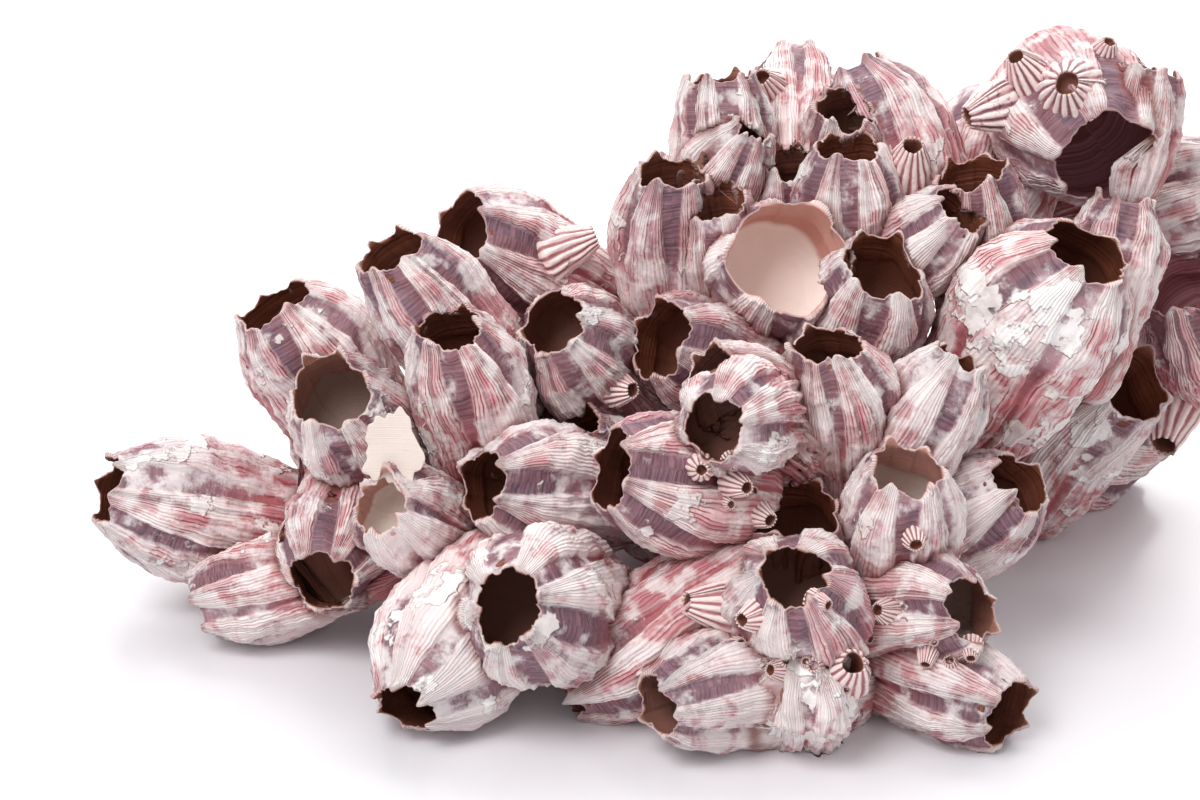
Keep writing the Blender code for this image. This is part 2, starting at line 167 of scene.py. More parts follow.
# How a shell looks: white (how chalky), purple (how grey-purple), stripes (how strong its red
# lines are), tone (its hollow, from 0 dark brown to 1 cream), crust (how much chalky crust has
# settled on it) and mauve (how mauve its hollow is), each from 0 to 1, where it isn't the usual.
USUAL_LOOK = {"white": 0.45, "purple": 0.5, "stripes": 0.55, "tone": 0.25, "crust": 0.25,
              "mauve": 0.0}
LOOKS = {
    "left_tip_shell": {"white": 0.5, "purple": 0.7, "stripes": 0.8, "tone": 0.1, "crust": 0.6},
    "left_low_shell": {"stripes": 0.75},
    "left_round_shell": {"purple": 0.85, "tone": 0.08},
    "pale_small_shell": {"white": 0.75, "purple": 0.2, "tone": 0.9},
    "left_wide_shell": {"white": 0.55, "purple": 0.55, "tone": 0.45, "crust": 0.5},
    "left_crown_shell": {"stripes": 0.65, "purple": 0.6, "tone": 0.05},
    "lower_twin_shell": {"stripes": 0.8, "purple": 0.6, "tone": 0.1},
    "upper_twin_shell": {"stripes": 0.4, "purple": 0.75, "tone": 0.1},
    "back_left_shell": {"stripes": 0.6, "tone": 0.15},
    "square_mouth_shell": {"white": 0.2, "purple": 0.9, "stripes": 0.3, "tone": 0.15},
    "pointed_mouth_shell": {"white": 0.3, "purple": 0.5, "tone": 0.05},
    "middle_left_shell": {"white": 0.6, "purple": 0.6, "stripes": 0.3, "tone": 0.1},
    "front_round_shell": {"white": 0.65, "purple": 0.85, "stripes": 0.25, "tone": 0.15, "crust": 0.5},
    "front_left_shell": {"white": 0.6, "purple": 0.75, "stripes": 0.6, "tone": 0.2, "crust": 0.5},
    "front_low_shell": {"white": 0.55, "purple": 0.7, "stripes": 0.45, "tone": 0.6},
    "front_mid_shell": {"white": 0.5, "purple": 0.5, "stripes": 0.45, "tone": 0.2},
    "front_right_shell": {"white": 0.55, "purple": 0.7, "stripes": 0.45, "tone": 0.5},
    "corner_shell": {"white": 0.5, "purple": 0.7, "stripes": 0.5, "tone": 0.2},
    "front_side_shell": {"white": 0.3, "purple": 0.5, "stripes": 0.6, "tone": 0.15},
    "teardrop_shell": {"white": 0.55, "purple": 0.3, "stripes": 0.6, "tone": 0.15},
    "right_open_shell": {"white": 0.5, "purple": 0.35, "stripes": 0.3, "tone": 0.75},
    "right_tilted_shell": {"white": 0.6, "purple": 0.7, "tone": 0.1},
    "centre_crown_shell": {"white": 0.5, "purple": 0.7, "tone": 0.2},
    "striped_shell": {"white": 0.6, "purple": 0.8, "stripes": 0.3, "tone": 0.05},
    "giant_shell": {"white": 0.35, "purple": 0.15, "stripes": 0.9, "tone": 0.1, "crust": 0.85},
    "broken_bowl_shell": {"white": 0.5, "purple": 0.6, "stripes": 0.3, "tone": 1.0},
    "bowl_mate_shell": {"white": 0.6, "purple": 0.4, "tone": 0.05},
    "right_dark_shell": {"white": 0.45, "purple": 0.7, "stripes": 0.5, "tone": 0.0, "crust": 0.6},
    "front_foot_shell": {"white": 0.7, "purple": 0.15, "stripes": 0.3, "crust": 0.7},
    "dark_hollow_shell": {"tone": 0.0},
    "dark_lip_shell": {"tone": 0.0},
    "tower_shell": {"white": 0.25, "purple": 0.6, "stripes": 0.35, "tone": 0.3, "mauve": 0.9},
    "top_grey_shell": {"purple": 0.95, "white": 0.4, "stripes": 0.2},
    "top_dome_shell": {"purple": 0.2, "stripes": 0.6},
    "back_purple_shell": {"purple": 0.7, "stripes": 0.6},
    "edge_purple_shell": {"white": 0.2, "purple": 0.9, "stripes": 0.6, "tone": 0.5, "mauve": 1.0},
    "top_ridged_shell": {"white": 0.4, "purple": 0.7, "stripes": 0.5, "tone": 0.1},
    "top_right_shell": {"white": 0.35, "purple": 0.9, "tone": 0.1},
    "leaning_shell": {"white": 0.6, "purple": 0.3, "stripes": 0.7, "tone": 0.1},
}


def smooth(share):
    """A rise from 0 to 1 with level ends: three squares less two cubes."""
    share = np.clip(share, 0, 1)
    return share * share * (3 - 2 * share)


def waves(draw, around, along, turns, lengths, count):
    """A sum of cosine waves over angle and height, of mean size 1.

    Each wave goes a whole number of times round, from the range turns, and repeats along the
    height after a distance from the range lengths.
    """
    total = np.zeros(np.broadcast(around, along).shape)
    for _ in range(count):
        turn = draw.integers(turns[0], turns[1] + 1)
        pitch = draw.uniform(-1, 1) / draw.uniform(*lengths)
        shift = draw.uniform(0, 2 * math.pi)
        total += np.cos(turn * around + 2 * math.pi * pitch * along + shift)
    return total * math.sqrt(2 / count)


def facing(heading, pitch):
    """The direction that lies this many degrees to the right of the front, and this many up."""
    turn, lift = math.radians(heading), math.radians(pitch)
    return Vector((math.cos(lift) * math.sin(turn), -math.cos(lift) * math.cos(turn), math.sin(lift)))


def turned_to(direction):
    """The turn that takes an upright shell to this direction, as a matrix."""
    return np.array(Vector((0, 0, 1)).rotation_difference(direction).to_matrix())


class Shell:
    """The form of one shell in its own frame: foot at the origin and mouth up."""

    def __init__(self, number, name, mouth, heading, pitch, length, mouth_radius, belly_radius):
        self.number, self.name = number, name
        self.length, self.mouth, self.belly = length, mouth_radius, belly_radius
        self.root = SHORT_ROOTS.get(name, ROOT)
        axis = facing(heading, pitch)
        self.turn = turned_to(axis)
        self.foot = np.array(mouth) - CLUSTER_CENTRE - length * np.array(axis)
        draw = np.random.default_rng(number)
        self.centres = np.arange(PLATES) + draw.uniform(-0.13, 0.13, PLATES)
        self.seams = draw.uniform(0.75, 1.3, PLATES + 1)
        self.seams[PLATES] = self.seams[0]
        self.tips = draw.uniform(0.3, 1.0, PLATES)
        self.bend = draw.uniform(-1, 1, 2) * 0.16 * length
        self.tilt = draw.uniform(0, 2 * math.pi)
        self.wash = draw.uniform(0, 1, PLATES)
        self.folds = draw.uniform(0.25, 1.2, PLATES)

    def plates(self, around):
        """Each angle's plate, and its place across the plate: 0 in the middle, a half at a seam."""
        share = around / (2 * math.pi) * PLATES
        knots = np.concatenate((self.centres - PLATES, self.centres, self.centres + PLATES))
        steady = np.interp(share, knots, np.arange(-PLATES, 2 * PLATES))
        plate = np.round(steady)
        return plate.astype(int) % PLATES, steady - plate

    def cover(self, along, around):
        """How much an angle is plate, from 0 in a seam to 1, and its place across the plate.

        A seam is narrow at the foot and about half of the wall at the rim.
        """
        plate, across = self.plates(around)
        share = np.clip(along / self.length, 0, 1)
        side = self.seams[plate + (across > 0)]
        seam = (SEAM_AT_FOOT + SEAM_GAIN * share ** 1.4) * side
        distance = 0.5 - np.abs(across) - seam
        return smooth(distance / 0.035 + 0.3), across / (0.5 - seam)

    def rim(self, around):
        """Height of the rim at an angle: a bell curve on each plate, a slope, and small chips."""
        draw = np.random.default_rng(self.number + 1000)
        plate, across = self.plates(around)
        tips = self.tips[plate] * np.exp(-(across / 0.17) ** 2)
        chips = waves(draw, around, 0.0, (7, 30), (1, 2), 9)
        sway = waves(draw, around, 0.0, (2, 5), (1, 2), 4)
        slope = np.cos(around - self.tilt) - 1
        return self.length + TIP_HEIGHT * tips + RIM_SLOPE * slope + 0.13 * chips + 0.45 * sway

    def centre(self, along):
        """The bent middle line: it leans aside with the square of the height."""
        share = np.clip(along / self.length, 0, 1.1)
        return self.bend[0] * (share ** 2 - share), self.bend[1] * (share ** 2 - share)

    def outside(self, along, around, relief=1.0):
        """Outer radius: a barrel, not quite round, with its plates standing proud of its seams.

        From the belly up it falls to the rim's radius as a cosine of the height, and from the
        belly down it shrinks with the depth to the power 1.6. A plate's rise falls with the square
        of the distance from its middle.
        """
        draw = np.random.default_rng(self.number + 2000)
        share = along / self.length
        top = self.mouth + RIM_WALL
        rise = np.clip((share - BELLY_HEIGHT) / (1 - BELLY_HEIGHT), 0, 1)
        upper = top + (self.belly - top) * np.cos(math.pi / 2 * rise ** 1.3)
        fall = np.clip((BELLY_HEIGHT - share) / (BELLY_HEIGHT + self.root / self.length), 0, 1)
        barrel = np.where(share > BELLY_HEIGHT, upper, self.belly * (1 - 0.30 * fall ** 1.6))
        uneven = waves(draw, around, along, (1, 3), (30, 60), 5)
        cover, across = self.cover(along, around)
        level = smooth((along + self.root) / 14) * (1 - 0.5 * smooth(4 * share - 3)) * relief
        proud = (cover * (1 - 0.45 * across ** 2) - 0.6) * PLATE_RISE * level
        oval = waves(draw, around, 0.0, (2, 5), (1, 2), 4) * smooth(share * 2 - 1)
        return barrel * (1 + 0.042 * uneven) + proud + oval * 0.05 * self.mouth

    def inward(self, points):
        """A world point's height, angle and distance from the middle line of this shell."""
        local = (points - self.foot) @ self.turn
        middle_x, middle_y = self.centre(local[:, 2])
        x, y = local[:, 0] - middle_x, local[:, 1] - middle_y
        return local[:, 2], np.arctan2(y, x), np.hypot(x, y)

    def outward(self, along, around, radius):
        """The world point at a height, an angle and a distance from the middle line."""
        middle_x, middle_y = self.centre(along)
        x, y = middle_x + radius * np.cos(around), middle_y + radius * np.sin(around)
        return self.foot + np.stack((x, y, along), -1) @ self.turn.T


def shell_grid(shell, columns, outer_rows, inner_rows):
    """The whole skin of a shell as a grid: up the outside, over the rim, down into the hollow.

    Rows run from the middle of the foot to the middle of the hollow's floor. On the outside, the
    radius is the outer form plus ribs that fan out from each plate's tip and the steps of yearly
    growth. Inside, it is the outer form less a wall that grows thicker downwards, times a bowl's
    curve near the floor.
    """
    draw = np.random.default_rng(shell.number + 3000)
    around = np.linspace(0, 2 * math.pi, columns, endpoint=False)[None, :]
    rim = shell.rim(around)

    climb = np.linspace(0, 1, outer_rows)[:, None] ** 0.9
    along = -shell.root + (rim + shell.root) * climb
    share = along / shell.length
    cover, across = shell.cover(along, around)
    plate, _ = shell.plates(around)
    ribs = RIBS_PER_HALF_PLATE * across + 0.25 * waves(draw, around, along, (1, 6), (8, 25), 5)
    swell = 0.35 + 0.65 * smooth(waves(draw, around, along, (1, 5), (12, 30), 5) * 0.4 + 0.6)
    folds = np.cos(2 * math.pi * ribs / RIBS_PER_FOLD) * cover * (1.3 - 0.8 * share) * swell
    folds = folds * 0.62 * shell.folds[plate]
    fine = np.cos(2 * math.pi * ribs) * cover * 0.10 * shell.folds[plate]
    years = along / YEARLY_GROWTH + 0.35 * waves(draw, around, along, (1, 5), (20, 40), 4)
    growth = (years % 1.0) ** 4 * 0.42
    lumps = waves(draw, around, along, (3, 11), (6, 16), 8)
    lumps = lumps * (LUMPY_LUMPS if shell.name == LUMPY else LUMPS)
    relief = (folds + fine + growth + lumps) * smooth((along + shell.root) / 16)
    radius = shell.outside(along, around) + relief
    round_off = np.clip((along + shell.root) / 7, 0, 1)
    radius = radius * np.sqrt(1 - (1 - round_off) ** 2.5)
    outer = (along, radius, share)

    turn = np.linspace(0.2, 1, 5)[:, None]
    wall = RIM_WALL * (1 + 0.25 * waves(draw, around, 0.0, (2, 9), (1, 2), 4))
    edge_along = rim + 0.25 * np.sin(math.pi * turn)
    smooth_rim = np.minimum(shell.outside(rim, around, 0.2) - 0.8, radius[-1:] - 0.5)
    edge_radius = radius[-1:] * (1 - turn) + (smooth_rim - 0.3 * wall) * turn
    edge = (edge_along, edge_radius, np.ones_like(edge_along))

    down = np.linspace(0, 1, inner_rows + 1)[1:, None] ** 1.15
    depth = HOLLOW_DEPTH * shell.length
    in_along = rim * (1 - down) + (shell.length - depth) * down
    thick = RIM_WALL * 1.15 + WALL_GAIN * smooth(down * 2.2)
    rings = 0.09 * np.cos(2 * math.pi * in_along / RING_SPACING) * smooth(4 - down * 9)
    below_sheath = 0.9 * smooth((down - SHEATH_DEPTH) * 25)
    inner_radius = shell.outside(in_along, around, 0.25) - thick + rings + below_sheath
    inner_radius = np.minimum(inner_radius, edge_radius[-1:] + 40 * down)
    inner_radius = inner_radius * np.sqrt(np.clip(1 - down ** 9, 0, 1))
    inner = (in_along, inner_radius, 1 + down)

    along, radius, height = (np.concatenate([np.broadcast_to(part[k], (len(part[0]), columns))
                                             for part in (outer, edge, inner)]) for k in range(3))
    points = shell.outward(along, np.broadcast_to(around, along.shape), radius)
    inside = np.concatenate((np.zeros((outer_rows, 1)), turn, np.ones((inner_rows, 1))))
    cover, across = shell.cover(np.minimum(along, rim), around)
    strand = STRANDS_PER_PLATE * plate + RIBS_PER_HALF_PLATE * across
    return {
        "points": points,
        "strand": strand,
        "along": along,
        "values": {
            "cover": cover,
            "height": height,
            "inside": np.broadcast_to(inside, along.shape),
            "wash": np.broadcast_to(shell.wash[plate], along.shape),
            "young": np.zeros(along.shape),
        },
    }


# Two shells touch only where their feet are less than FAR_APART from each other. What lies within
# a neighbour ends UNDER_SKIN deep in it, and skins count as near up to NEAR_LIMIT. A lead is the
# difference in height between two shells at a point, in shares of their lengths.
FAR_APART = 95
UNDER_SKIN = 1.1
NEAR_LIMIT = 9.0
CLEAR_LEAD = 0.3
INNER_WALL_LAG = 0.1
ROUNDS = 2


def grown_against(shell, points, height, inner, order):
    """Move the points that lie in a neighbour to just below its skin, where the two grew together.

    They move outwards, and round the neighbour's middle line towards this shell: the angle from
    this shell is taken times the square of the point's depth in the neighbour, as a share of its
    radius, so that a wall stays in one sheet. A neighbour owns a point where it is clearly nearer
    its own mouth than this shell is. Where they are alike, the lower number owns it. The order
    ends with the widest mouths, whose hollows show most. Also gives each point's distance from the
    nearest neighbour's skin, and the number of the shell whose hollow the point shows in, or -1.
    """
    near = np.full(len(points), NEAR_LIMIT)
    seen_in = np.full(len(points), -1)
    for _ in range(ROUNDS):
        for other in order:
            if other is shell or np.linalg.norm(other.foot - shell.foot) > FAR_APART:
                continue
            along, around, distance = other.inward(points)
            close = (along > -other.root - 3) & (along < other.length + 4)
            spots = np.flatnonzero(close & (distance < other.belly * 1.25 + 4))
            if not len(spots):
                continue
            along, around, distance = along[spots], around[spots], distance[spots]
            skin = other.outside(along, around)
            below_rim = along < other.rim(around)
            gap = np.where(below_rim, np.abs(distance - skin), NEAR_LIMIT)
            near[spots] = np.minimum(near[spots], gap)
            above_floor = along > other.length * (1 - HOLLOW_DEPTH) - 2
            in_hollow = below_rim & above_floor & (distance < skin - UNDER_SKIN)
            seen_in[spots[in_hollow]] = other.number
            lead = along / other.length - height[spots] - INNER_WALL_LAG * inner[spots]
            owns = (lead > CLEAR_LEAD) | ((lead > -CLEAR_LEAD) & (other.number < shell.number))
            hit = owns & below_rim & (distance < skin) & (along > -other.root)
            _, toward, _ = other.inward(shell.foot[None] + shell.turn[:, 2] * shell.length * 0.6)
            turn = (around[hit] - toward + math.pi) % (2 * math.pi) - math.pi
            hugging = toward + turn * (distance[hit] / skin[hit]) ** 2
            points[spots[hit]] = other.outward(along[hit], hugging, skin[hit] - UNDER_SKIN)
    return near, seen_in


def add_grid(parts, grid):
    """Add a grid of rows to a piece's parts, as points and faces.

    The first and the last row are each drawn together to one point, which closes the surface.
    """
    rows, columns, _ = grid["points"].shape
    start = sum(len(part["points"]) for part in parts)
    ring = grid["points"][1:-1].reshape(-1, 3)
    points = np.concatenate((ring, grid["points"][:1].mean(1), grid["points"][-1:].mean(1)))
    foot, floor = start + len(ring), start + len(ring) + 1
    number = start + np.arange((rows - 2) * columns).reshape(rows - 2, columns)
    right = np.roll(number, -1, axis=1)
    quads = np.stack((number[:-1], right[:-1], right[1:], number[1:]), -1).reshape(-1, 4)
    first = np.stack((np.full(columns, foot), right[0], number[0]), -1)
    last = np.stack((np.full(columns, floor), number[-1], right[-1]), -1)

    def at_corners(values, seam):
        """A quantity at each face's corners, with its own value where the grid meets itself."""
        left = values[1:-1]
        beyond = np.concatenate((left[:, 1:], seam[1:-1]), axis=1)
        box = np.stack((left[:-1], beyond[:-1], beyond[1:], left[1:]), -1).reshape(-1)
        start_fan = np.stack((left[0], beyond[0], left[0]), -1).reshape(-1)
        end_fan = np.stack((left[-1], left[-1], beyond[-1]), -1).reshape(-1)
        return np.concatenate((box, start_fan, end_fan))

    strand = grid["strand"]
    once_round = strand[:, :1] + STRANDS_PER_PLATE * PLATES * (strand[:, :1] < strand[:, -1:])
    corners = np.stack((at_corners(strand, once_round),
                        at_corners(grid["along"], grid["along"][:, :1])), -1)
    values = {}
    for key, value in grid["values"].items():
        values[key] = np.concatenate((value[1:-1].reshape(-1), value[:1].mean(1), value[-1:].mean(1)))
    parts.append({"points": points, "quads": quads, "fans": np.concatenate((first, last)),
                  "corners": corners, "values": values})


def make_piece(name, parts, finish):
    """One object from its parts, with its strands as a UV map and its values as attributes."""
    points = np.concatenate([part["points"] for part in parts]) * MM
    faces, corners = [], []
    for part in parts:
        faces += [part["quads"], part["fans"]]
        corners.append(part["corners"])
    loops = np.concatenate([face.reshape(-1) for face in faces])
    sizes = np.concatenate([np.full(len(face), face.shape[1]) for face in faces])
    mesh = bpy.data.meshes.new(name)
    mesh.vertices.add(len(points))
    mesh.vertices.foreach_set("co", points.astype(np.float32).ravel())
    mesh.loops.add(len(loops))
    mesh.loops.foreach_set("vertex_index", loops.astype(np.int32))
    mesh.polygons.add(len(sizes))
    mesh.polygons.foreach_set("loop_start", (np.cumsum(sizes) - sizes).astype(np.int32))
    mesh.polygons.foreach_set("use_smooth", np.ones(len(sizes), bool))
    strands = mesh.uv_layers.new(name="strands")
    strands.data.foreach_set("uv", np.concatenate(corners).astype(np.float32).ravel())
    for key in parts[0]["values"]:
        values = np.concatenate([part["values"][key] for part in parts])
        layer = mesh.attributes.new(key, "FLOAT", "POINT")
        layer.data.foreach_set("value", values.astype(np.float32))
    mesh.validate()
    mesh.update()
    mesh.materials.append(finish.material)
    piece = bpy.data.objects.new(name, mesh)
    bpy.context.scene.collection.objects.link(piece)
    return piece


# The finish of a shell: chalk white, pink and purple-grey outside with wavy red-brown lines
# between the ribs, and a satin brown sheath inside the mouth above a paler taupe hollow. Its
# patterns are worked out from the piece's place, its strands and its values.
class Value:
    """A number at each point of a surface, as the output of a node."""

    def __init__(self, finish, socket):
        self.finish = finish
        self.socket = socket

    def _maths(self, operation, *inputs):
        return self.finish.node("ShaderNodeMath", {"operation": operation}, *inputs)

    def __add__(self, other):
        return self._maths("ADD", self, other)

    __radd__ = __add__

    def __sub__(self, other):
        return self._maths("SUBTRACT", self, other)

    def __rsub__(self, other):
        return self._maths("SUBTRACT", other, self)

    def __mul__(self, other):
        return self._maths("MULTIPLY", self, other)

    __rmul__ = __mul__

    def power(self, exponent):
        return self._maths("POWER", self, exponent)

    def cosine(self):
        return self._maths("COSINE", self)

    def step(self, start, end):
        """0 below start, 1 above end, and a smooth rise between them."""
        settings = {"interpolation_type": "SMOOTHSTEP"}
        return self.finish.node("ShaderNodeMapRange", settings, self, start, end)


class Finish:
    """One material's nodes, ended by the Principled shader that it starts with."""

    def __init__(self, name):
        self.material = bpy.data.materials.new(name)
        self.material.use_nodes = True
        self.tree = self.material.node_tree
        self.surface = self.tree.nodes["Principled BSDF"]

    def node(self, kind, settings, *inputs, output=0, **named):
        """A node of a kind, with its settings made first, then its sockets by place or by name."""
        item = self.tree.nodes.new(kind)
        for key, value in settings.items():
            setattr(item, key, value)
        for key, value in list(enumerate(inputs)) + list(named.items()):
            self.feed(item.inputs[key], value)
        return Value(self, item.outputs[output])

    def feed(self, socket, value):
        """Link a value to a socket, or set the socket to a number or a colour."""
        if isinstance(value, Value):
            self.tree.links.new(value.socket, socket)
        else:
            socket.default_value = value

    def attribute(self, name):
        return self.node("ShaderNodeAttribute", {"attribute_name": name}, output="Fac")

    def place(self):
        return self.node("ShaderNodeTexCoord", {}, output="Object")

    def noise(self, where, scale, detail=3.0, roughness=0.55):
        """Soft random patches, about one over scale across, of values around a half."""
        return self.node("ShaderNodeTexNoise", {}, Vector=where, Scale=scale, Detail=detail,
                         Roughness=roughness)

    def point(self, x, y, z=0.0):
        return self.node("ShaderNodeCombineXYZ", {}, x, y, z)

    def part_of(self, vector, axis):
        return self.node("ShaderNodeSeparateXYZ", {}, vector, output=axis)

    def mix(self, share, first, second):
        """The first colour where share is 0, and the second where it is 1."""
        item = self.tree.nodes.new("ShaderNodeMix")
        item.data_type = "RGBA"
        for number, value in ((0, share), (6, first), (7, second)):
            self.feed(item.inputs[number], value)
        return Value(self, item.outputs[2])

    def bump(self, height, distance):
        """The normal of a surface with a relief of this height at the most, in metres."""
        return self.node("ShaderNodeBump", {}, Height=height, Distance=distance)


def colour(red, green, blue):
    """The share of light that a surface sends back, for the colour it has on a screen, 0 to 255.

    It is the screen's own curve: a power of 2.4 with a foot of 0.055, and every colour here is
    bright enough for that part of the curve.
    """
    return (*(((level / 255 + 0.055) / 1.055) ** 2.4 for level in (red, green, blue)), 1.0)


# The colours of the plates, of the seams, of wear and crust, of the painted shade where shells meet,
# of the young shells, of the horny sheath, of the hollow below it, of a mauve hollow, and of the edge
# of the rim.
PALE_PINK, CHALK = colour(226, 192, 192), colour(252, 240, 236)
ROSE, OLD_ROSE, RED_BROWN = colour(212, 138, 146), colour(182, 90, 96), colour(150, 58, 62)
GREY_WASH = colour(180, 140, 150)
SEAM_BROWN, SEAM_PURPLE, SEAM_MAUVE = colour(106, 64, 68), colour(84, 64, 78), colour(148, 108, 118)
SEAM_PINK, SEAM_ROSE = colour(206, 166, 174), colour(194, 106, 110)
# Worn white, then a brown that is painted shade for the crevices where shells meet.
WORN_WHITE, CREVICE_SHADE_BROWN = colour(248, 243, 241), colour(134, 62, 54)
CRUST_GREY, CRUST_WHITE = colour(244, 236, 232), colour(252, 249, 247)
GROOVE_PINK, GROOVE_PURPLE = colour(176, 112, 114), colour(116, 74, 88)
YOUNG_RIB, YOUNG_PINK = colour(248, 230, 226), colour(226, 178, 180)
HORN_DARK, HORN_LIGHT, HORN_PALE = colour(72, 34, 26), colour(146, 84, 62), colour(222, 168, 156)
HOLLOW_BROWN, HOLLOW_CREAM = colour(124, 70, 52), colour(255, 245, 236)
HOLLOW_LINE = colour(150, 120, 106)
MAUVE_DARK, MAUVE_PALE = colour(138, 76, 84), colour(196, 138, 144)
RIM_EDGE = colour(214, 186, 178)
RELIEF_HEIGHT = 0.7 * MM

paint = Finish("purple_shell")
place = paint.place()
strands = paint.node("ShaderNodeUVMap", {"uv_map": "strands"})
strand, along = paint.part_of(strands, "X"), paint.part_of(strands, "Y")
cover, inside, height = (paint.attribute(key) for key in ("cover", "inside", "height"))
white, purple, stripes = (paint.attribute(key) for key in ("white", "purple", "stripes"))
inner_tone, crusted = paint.attribute("tone"), paint.attribute("crust")
near, wash, young = (paint.attribute(key) for key in ("near", "wash", "young"))

# Soft random patches about 26, 7, 1 and 10 mm across.
broad = paint.noise(place, 38.0, 2.0)
patches = paint.noise(place, 150.0, 4.0, 0.62)
grit = paint.noise(place, 1000.0, 3.0, 0.6)
wander = paint.noise(place, 95.0, 2.0)

# The lines follow the strands and wander a little, and some last further down than others.
wavy = strand + 2.2 * (wander - 0.5) + 0.5 * (patches - 0.5)
lines = (2 * math.pi * wavy).cosine() * 0.5 + 0.5
coarse = (2 * math.pi * 0.5 * wavy).cosine() * 0.5 + 0.5
lasting = paint.noise(paint.point(strand * 0.55, along * 0.05), 1.0, 2.0)
thin_lines = lines.step(0.66, 0.97) * lasting.step(0.36, 0.58)
streak = paint.noise(paint.point(wavy * 0.34, along * 0.022), 1.0, 3.0).step(0.44, 0.66)
low = (1 - height).step(0.35, 0.95)
cross = paint.noise(paint.point(strand * 0.05, along * 1.7), 1.0, 3.0)

# The plates: pink and white, with rose streaks and red-brown lines, and rosy at the foot.
plate_colour = paint.mix(patches.step(0.35, 0.65), PALE_PINK, CHALK)
plate_colour = paint.mix(streak * (0.5 + 0.5 * stripes), plate_colour, ROSE)
plate_colour = paint.mix(wash.step(0.5, 1.0) * purple * 0.75, plate_colour, GREY_WASH)
plate_colour = paint.mix(thin_lines * (0.45 + stripes), plate_colour, RED_BROWN)
rosy_foot = low * (0.35 + 0.65 * (1 - coarse)) * (0.4 + 0.6 * stripes)
plate_colour = paint.mix(rosy_foot, plate_colour, OLD_ROSE)

# The seams: brown or purple with paler lines across, and pinker where a shell isn't purple.
dark_seam = paint.mix(wash.step(0.25, 0.75), SEAM_BROWN, SEAM_PURPLE)
seam_colour = paint.mix(cross.step(0.30, 0.72), dark_seam, SEAM_MAUVE)
seam_colour = paint.mix(broad.step(0.48, 0.64) * (1 - purple) * 0.8, seam_colour, SEAM_PINK)
seam_colour = paint.mix(low * 0.8, seam_colour, SEAM_ROSE)

# Over both lie grey-purple streaks, worn white patches, chalky crust, and painted brown shade in the
# crevices where shells meet.
outer_colour = paint.mix(cover, seam_colour, plate_colour)
purple_streak = paint.noise(paint.point(strand * 0.30 + 7, along * 0.014), 1.0, 2.0)
outer_colour = paint.mix(purple_streak.step(0.54, 0.58) * purple * 0.85, outer_colour, seam_colour)
worn = (patches * 0.62 + broad * 0.38 + white * 0.20 + cover * 0.08).step(0.60, 0.72)
outer_colour = paint.mix(worn * 0.6, outer_colour, WORN_WHITE)
crust = (paint.noise(place, 60.0, 4.0, 0.6) + crusted * 0.15).step(0.668, 0.70)
crust_colour = paint.mix(broad.step(0.4, 0.6), CRUST_GREY, CRUST_WHITE)
outer_colour = paint.mix(crust * 0.8, outer_colour, crust_colour)
# Painted shade: a brown darkening in patches wherever a point lies near a neighbour's skin, standing
# in for the shadow in the crevices between shells.
crevice_shade = (1 - near.step(0.2, 3.4)) * patches.step(0.25, 0.6)
outer_colour = paint.mix(crevice_shade * 0.75, outer_colour, CREVICE_SHADE_BROWN)

# The young shells: pale ribs with pink or purple grooves between them.
straight = (2 * math.pi * (strand + 0.5 * (patches - 0.5))).cosine() * 0.5 + 0.5
groove_colour = paint.mix(purple, GROOVE_PINK, GROOVE_PURPLE)
young_colour = paint.mix(straight.step(0.04, 0.6), groove_colour, YOUNG_RIB)
young_colour = paint.mix(patches.step(0.5, 0.7) * 0.6, young_colour, YOUNG_PINK)
outer_colour = paint.mix(young, outer_colour, young_colour)

# The hollow: a ringed brown sheath, and a smoother floor below it that starts deeper in the bowl.
depth = height - 1
rings = paint.noise(paint.point(strand * 0.02, along * 2.6), 1.0, 3.0)
sheath = paint.mix(rings.step(0.3, 0.7), HORN_DARK, HORN_LIGHT)
sheath = paint.mix(inner_tone.power(2) * 0.9, sheath, HORN_PALE)
hollow = paint.mix(inner_tone.power(2), HOLLOW_BROWN, HOLLOW_CREAM)
hollow = paint.mix(lines.step(0.6, 1.0) * 0.08 * (1 - inner_tone), hollow, HOLLOW_LINE)
bowl = inner_tone.step(0.85, 0.95)
inner_colour = paint.mix((depth - 0.36 * bowl).step(0.36, 0.46), sheath, hollow)
mauve_colour = paint.mix(rings.step(0.3, 0.7), MAUVE_DARK, MAUVE_PALE)
inner_colour = paint.mix(paint.attribute("mauve"), inner_colour, mauve_colour)
edge = inside.step(0.05, 0.3) * (1 - inside.step(0.6, 1.0))
whole = paint.mix(inside.step(0.45, 0.9), outer_colour, inner_colour)
whole = paint.mix(edge * 0.55, whole, RIM_EDGE)
paint.feed(paint.surface.inputs["Base Color"], whole)

# Chalk is dull and the sheath is satin, and the relief is that of lines, growth, grit and crust.
outer_rough = 0.55 + 0.25 * worn
inner_rough = 0.36 + 0.30 * depth.step(0.3, 0.5)
paint.feed(paint.surface.inputs["Roughness"], outer_rough * (1 - inside) + inner_rough * inside)
relief = lines * cover * 0.35 + cross * 0.2 + grit * 0.3 + patches * 0.5 + crust * 0.9
relief = relief * (1 - inside) + (rings * 0.35 + grit * 0.05) * inside
paint.feed(paint.surface.inputs["Normal"], paint.bump(relief, RELIEF_HEIGHT))
paint.surface.inputs["Specular IOR Level"].default_value = 0.4


# The young shells: small chalky cones with a dozen ribs and a pit in the top. Each settled on a
# grown shell and is cemented to it, so it is part of that shell's piece.

